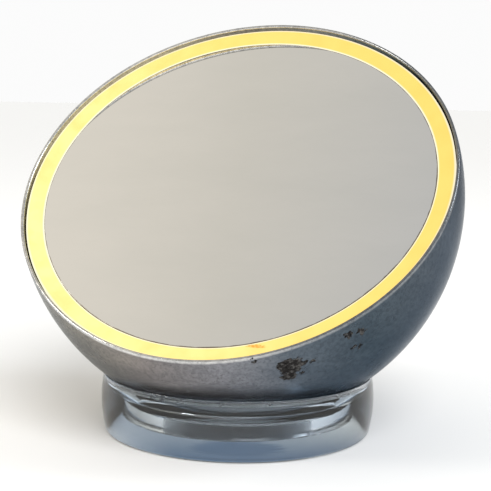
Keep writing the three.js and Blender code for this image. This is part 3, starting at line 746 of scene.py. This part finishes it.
white_enamel = mottled_finish(
    "white enamel", (0.83, 0.82, 0.78), (0.76, 0.74, 0.68),
    rough=(0.22, 0.36), grain_scale=340, depth=0.00005, coat=0.4,
)
dress(white_enamel, "lamp_pan")
dress(zinc, *numbered("shell_bracket", 4), *numbered("pan_screw", 4))

# --------------------------------------------------------------------------------------------
# Lamp. A circular fluorescent tube, powdered white inside, with a plastic cap where its ends
# meet. Spring clips hold it over the pan; the holder, the starter and its base stand beside it.

tube_circle = 0.1379
tube_radius = 0.0145
tube_height = -0.012
cap_half_length = 0.015
cap_half = math.asin((cap_half_length + hole_gap) / (tube_circle - tube_radius))
bpy.ops.object.select_all(action="DESELECT")
bpy.ops.mesh.primitive_circle_add(
    vertices=40, radius=tube_radius, fill_type="NGON", rotation=(math.pi / 2, 0, 0),
    location=(tube_circle, 0, tube_height),
)
tube = bpy.context.object
tube.name = tube.data.name = "lamp_glass_tube"
bpy.ops.object.transform_apply(location=True, rotation=True, scale=True)
bpy.ops.object.mode_set(mode="EDIT")
bpy.ops.mesh.select_all(action="SELECT")
bpy.ops.mesh.spin(
    steps=144, angle=2 * (math.pi - cap_half), center=(0, 0, 0), axis=(0, 0, 1),
    use_auto_merge=False,
)
bpy.ops.mesh.select_all(action="SELECT")
bpy.ops.mesh.normals_make_consistent(inside=False)
bpy.ops.object.mode_set(mode="OBJECT")
tube.rotation_euler = (0, 0, cap_half - math.pi / 2)
bpy.ops.object.transform_apply(location=True, rotation=True, scale=True)
bpy.ops.object.shade_smooth_by_angle(angle=math.radians(35))
set_in_ball(tube)


def lit_phosphor():
    """White powder that glows, dimmer and redder where the tube's two ends come to the cap."""
    dim_to = -0.150
    bright_from = -0.132
    finish, tree, shader = new_finish("lit lamp glass")
    place = face_place(tree)
    along = add_node(tree, "SeparateXYZ", {0: place}).outputs[1]
    powder = grain(tree, place, 70, 4, 0.6)
    glow = colours(tree, powder, [(0.3, (1.0, 0.86, 0.60)), (0.7, (1.0, 0.93, 0.74))])
    ends = spread(tree, along, dim_to, bright_from)
    feed(tree, shader, {
        "Base Color": colours(tree, powder, [(0.3, (0.80, 0.79, 0.76)), (0.7, (0.88, 0.87, 0.84))]),
        "Emission Color": layer(tree, ends, (0.62, 0.38, 0.20, 1), glow),
        "Emission Strength": 1.6,
        "Roughness": spread(tree, powder, 0.3, 0.7, 0.08, 0.16),
    })
    return finish


hand_over(tube, lit_phosphor(), "lamp_glass", "ball", "lamp_tube")
white_plastic = mottled_finish(
    "white plastic", (0.80, 0.79, 0.75), (0.72, 0.70, 0.64),
    rough=(0.35, 0.55), grain_scale=1100, depth=0.00003,
)
starter_can = mottled_finish(
    "drawn aluminium", (0.72, 0.73, 0.74), (0.55, 0.56, 0.58),
    rough=(0.2, 0.4), grain_scale=700, depth=0.00002, metallic=0.95,
)
dress(white_plastic, "lamp_cap", "lamp_holder", "starter_holder")
dress(starter_can, "starter")
dress(spring, *numbered("lamp_clip", 3))

# --------------------------------------------------------------------------------------------
# Ballast and terminals. An iron-cored choke dipped in black enamel hangs on the back of the pan
# by two screws and nuts, with a white terminal block beside it.

black_enamel = mottled_finish(
    "black enamel", (0.022, 0.024, 0.028), (0.045, 0.046, 0.05),
    rough=(0.3, 0.6), grain_scale=420, depth=0.00008, coat=0.3,
)
dress(black_enamel, "ballast")
dress(zinc, *numbered("ballast_screw", 2), *numbered("ballast_nut", 2))
dress(white_plastic, "terminal_block")

# --------------------------------------------------------------------------------------------
# Cord gland. A moulded black bush through the ball's back, its flange ribbed for the fingers,
# tightened by a nut inside.

black_plastic = mottled_finish(
    "black plastic", (0.018, 0.018, 0.019), (0.032, 0.032, 0.034),
    rough=(0.32, 0.5), grain_scale=1300, depth=0.00004,
)
gland_bore = 0.0038
gland_flange = 0.009
gland_flange_height = 0.0035
gland_length = 0.016
gland_edge = 0.0009
gland_band = 0.0018
gland_mouth_round = 0.0010
rib_height = 0.00035
rib_clear = 0.0002
gland_rib_top = 0.0017
gland_mouth_flat = 0.0016


def out_of_ball(piece, direction):
    """Lays a piece made about +Z along a direction from the ball's centre, then into the ball."""
    pick(piece)
    piece.rotation_mode = "QUATERNION"
    piece.rotation_quaternion = Vector((0, 0, 1)).rotation_difference(direction)
    bpy.ops.object.transform_apply(location=True, rotation=True, scale=True)
    piece.rotation_mode = "XYZ"
    set_in_ball(piece)


def rib(piece, radius, low, high, raise_by):
    """Raises every second facet of a turned band, between two heights, into a rib."""
    facet_play = 0.0003
    rib_inset = 0.00012
    pick(piece)
    bpy.ops.object.mode_set(mode="EDIT")
    bpy.ops.mesh.select_mode(type="FACE")
    bpy.ops.mesh.select_all(action="DESELECT")
    bpy.ops.object.mode_set(mode="OBJECT")
    band = [
        face for face in piece.data.polygons
        if low < face.center.z < high
        and math.hypot(face.center.x, face.center.y) > radius - facet_play
    ]
    band.sort(key=lambda face: math.atan2(face.center.y, face.center.x))
    for face in band[::2]:
        face.select = True
    bpy.ops.object.mode_set(mode="EDIT")
    bpy.ops.mesh.inset(thickness=rib_inset, depth=0.0, use_individual=True)
    bpy.ops.mesh.extrude_region_shrink_fatten(TRANSFORM_OT_shrink_fatten={"value": raise_by})
    bpy.ops.object.mode_set(mode="OBJECT")
    bpy.ops.object.shade_smooth_by_angle(angle=math.radians(28))


gland_seat = ball_radius + hole_gap
gland_top = gland_seat + gland_flange_height
gland = turn_on_lathe("cord_bush", [
    (gland_bore, gland_top - gland_length),
    (gland_neck, gland_top - gland_length),
    (gland_neck, gland_seat),
    (gland_flange, gland_seat),
    (gland_flange, gland_seat + gland_band),
    *round_run((gland_flange - gland_edge, gland_seat + gland_band), gland_edge, 15, 60, 4),
    (gland_bore + gland_mouth_flat, gland_top),
    *round_run((gland_bore + gland_mouth_round, gland_top - gland_mouth_round),
               gland_mouth_round, 90, 180, 6),
], steps=72)
rib(gland, gland_flange, gland_seat + rib_clear, gland_seat + gland_rib_top, rib_height)
out_of_ball(gland, gland_direction)
hand_over(gland, black_plastic, "black_plastic", "ball", "cord_gland")
dress(black_plastic, "gland_nut")

# --------------------------------------------------------------------------------------------
# Switch. A push-on, push-off switch behind the wall, drawn up by a knurled chromed collar on its
# threaded neck. Its black button has a dished, smooth top.

collar_radius = 0.0105
collar_height = 0.003
collar_seat = ball_radius + hole_gap
collar_top = collar_seat + collar_height
collar_edge = 0.0007
collar_bore = switch_neck + hole_gap
collar_bevel_width = 0.0005
collar_bevel_drop = 0.0004
collar = turn_on_lathe("switch_ring", [
    (collar_bore, collar_seat),
    (collar_radius, collar_seat),
    (collar_radius, collar_top - collar_edge),
    *round_run((collar_radius - collar_edge, collar_top - collar_edge), collar_edge, 15, 90, 5),
    (collar_bore + collar_bevel_width, collar_top),
    (collar_bore, collar_top - collar_bevel_drop),
], steps=96)
rib(collar, collar_radius, collar_seat + rib_clear, collar_top - collar_edge, rib_height)
out_of_ball(collar, switch_direction)
hand_over(collar, aged_chrome_painted_reflection("collar chrome"), "chrome", "ball", "switch_collar")

button_radius = 0.005
button_foot = collar_seat + 0.0011
button_top = collar_seat + 0.008
button_edge = 0.0009
button_dish = 0.0004
dish_radius = 0.7 * button_radius
dish_steps = 6
button = turn_on_lathe("dished_button", [
    (0, button_foot),
    (button_radius, button_foot),
    *round_run((button_radius - button_edge, button_top - button_edge), button_edge, 0, 90, 8),
    *[(dish_radius * out, button_top - button_dish * (1 - out**2))
      for out in [1 - i / dish_steps for i in range(dish_steps)]],
    (0, button_top - button_dish),
], steps=64)
out_of_ball(button, switch_direction)
hand_over(button, black_plastic, "black_plastic", "button", "push_button")
dress(black_plastic, "switch_body")

# --------------------------------------------------------------------------------------------
# Studio, not part of the object. A pale floor and backdrop. The plate reflects a ceiling warm on
# the left and cool on the right, over walls dark from the left round to the back. A warm lamp
# stands on the left and a cool one on the right, with wide daylight from above the front right.

floor_drop = 0.0003
bpy.ops.object.select_all(action="DESELECT")
bpy.ops.mesh.primitive_plane_add(size=60, location=(0, 0, -floor_drop))
floor = bpy.context.object
floor.name = "floor"
floor_finish, tree, shader = new_finish("pale floor")
feed(tree, shader, {
    "Base Color": (0.90, 0.90, 0.90, 1),
    "Roughness": 0.9,
    "Specular IOR Level": 0.1,
})
floor.data.materials.append(floor_finish)

world = bpy.data.worlds.new("studio")
bpy.context.scene.world = world
world.use_nodes = True
tree = world.node_tree
toward = add_node(tree, "TexCoord", {}).outputs["Generated"]
toward = add_node(tree, "SeparateXYZ", {0: toward}).outputs
ceiling = colours(tree, spread(tree, toward[0], -1.0, 1.0), [
    (0.0, (0.90, 0.84, 0.74)),
    (0.35, (0.66, 0.635, 0.575)),
    (0.6, (0.55, 0.55, 0.54)),
    (1.0, (0.40, 0.45, 0.52)),
])
heading = spread(tree, maths(tree, "ARCTAN2", toward[0], toward[1]), -math.pi, math.pi)
walls = colours(tree, heading, [
    (0.0, (0.50, 0.50, 0.50)),
    (0.25, (0.20, 0.225, 0.26)),
    (0.40, (0.17, 0.215, 0.28)),
    (0.50, (0.17, 0.225, 0.295)),
    (0.57, (0.60, 0.60, 0.60)),
    (0.64, (0.85, 0.84, 0.82)),
    (0.76, (0.80, 0.81, 0.82)),
    (1.0, (0.50, 0.50, 0.50)),
])
around = layer(tree, spread(tree, toward[2], 0.16, 0.42), walls, ceiling)
seen = add_node(tree, "LightPath", {}).outputs["Is Camera Ray"]
shown = layer(tree, seen, around, (0.97, 0.97, 0.97, 1))
feed(tree, tree.nodes["Background"], {"Color": shown, "Strength": 1.0})


def soft_lamp(name, place, size, watts, colour):
    data = bpy.data.lights.new(name, "AREA")
    data.shape = "RECTANGLE"
    data.size, data.size_y = size
    data.energy = watts
    data.color = colour
    lamp = bpy.data.objects.new(name, data)
    bpy.context.scene.collection.objects.link(lamp)
    lamp.location = place
    lamp.rotation_euler = (ball_centre - Vector(place)).to_track_quat("-Z", "Y").to_euler()


soft_lamp("warm_lamp", (-2.2, -1.5, 1.5), (0.9, 0.6), 22, (1.0, 0.96, 0.90))
soft_lamp("cool_lamp", (1.9, 0.6, 1.7), (0.8, 0.8), 14, (0.90, 0.95, 1.0))
daylight = bpy.data.lights.new("daylight", "SUN")
daylight.energy = 2.2
daylight.angle = math.radians(40)
sun = bpy.data.objects.new("daylight", daylight)
# Its disc is kept out of the mirror.
sun.visible_glossy = False
bpy.context.scene.collection.objects.link(sun)
sun.rotation_euler = Vector((0.45, -0.6, 0.66)).to_track_quat("Z", "Y").to_euler()
bpy.context.scene.view_settings.view_transform = "Standard"

# --------------------------------------------------------------------------------------------

import json
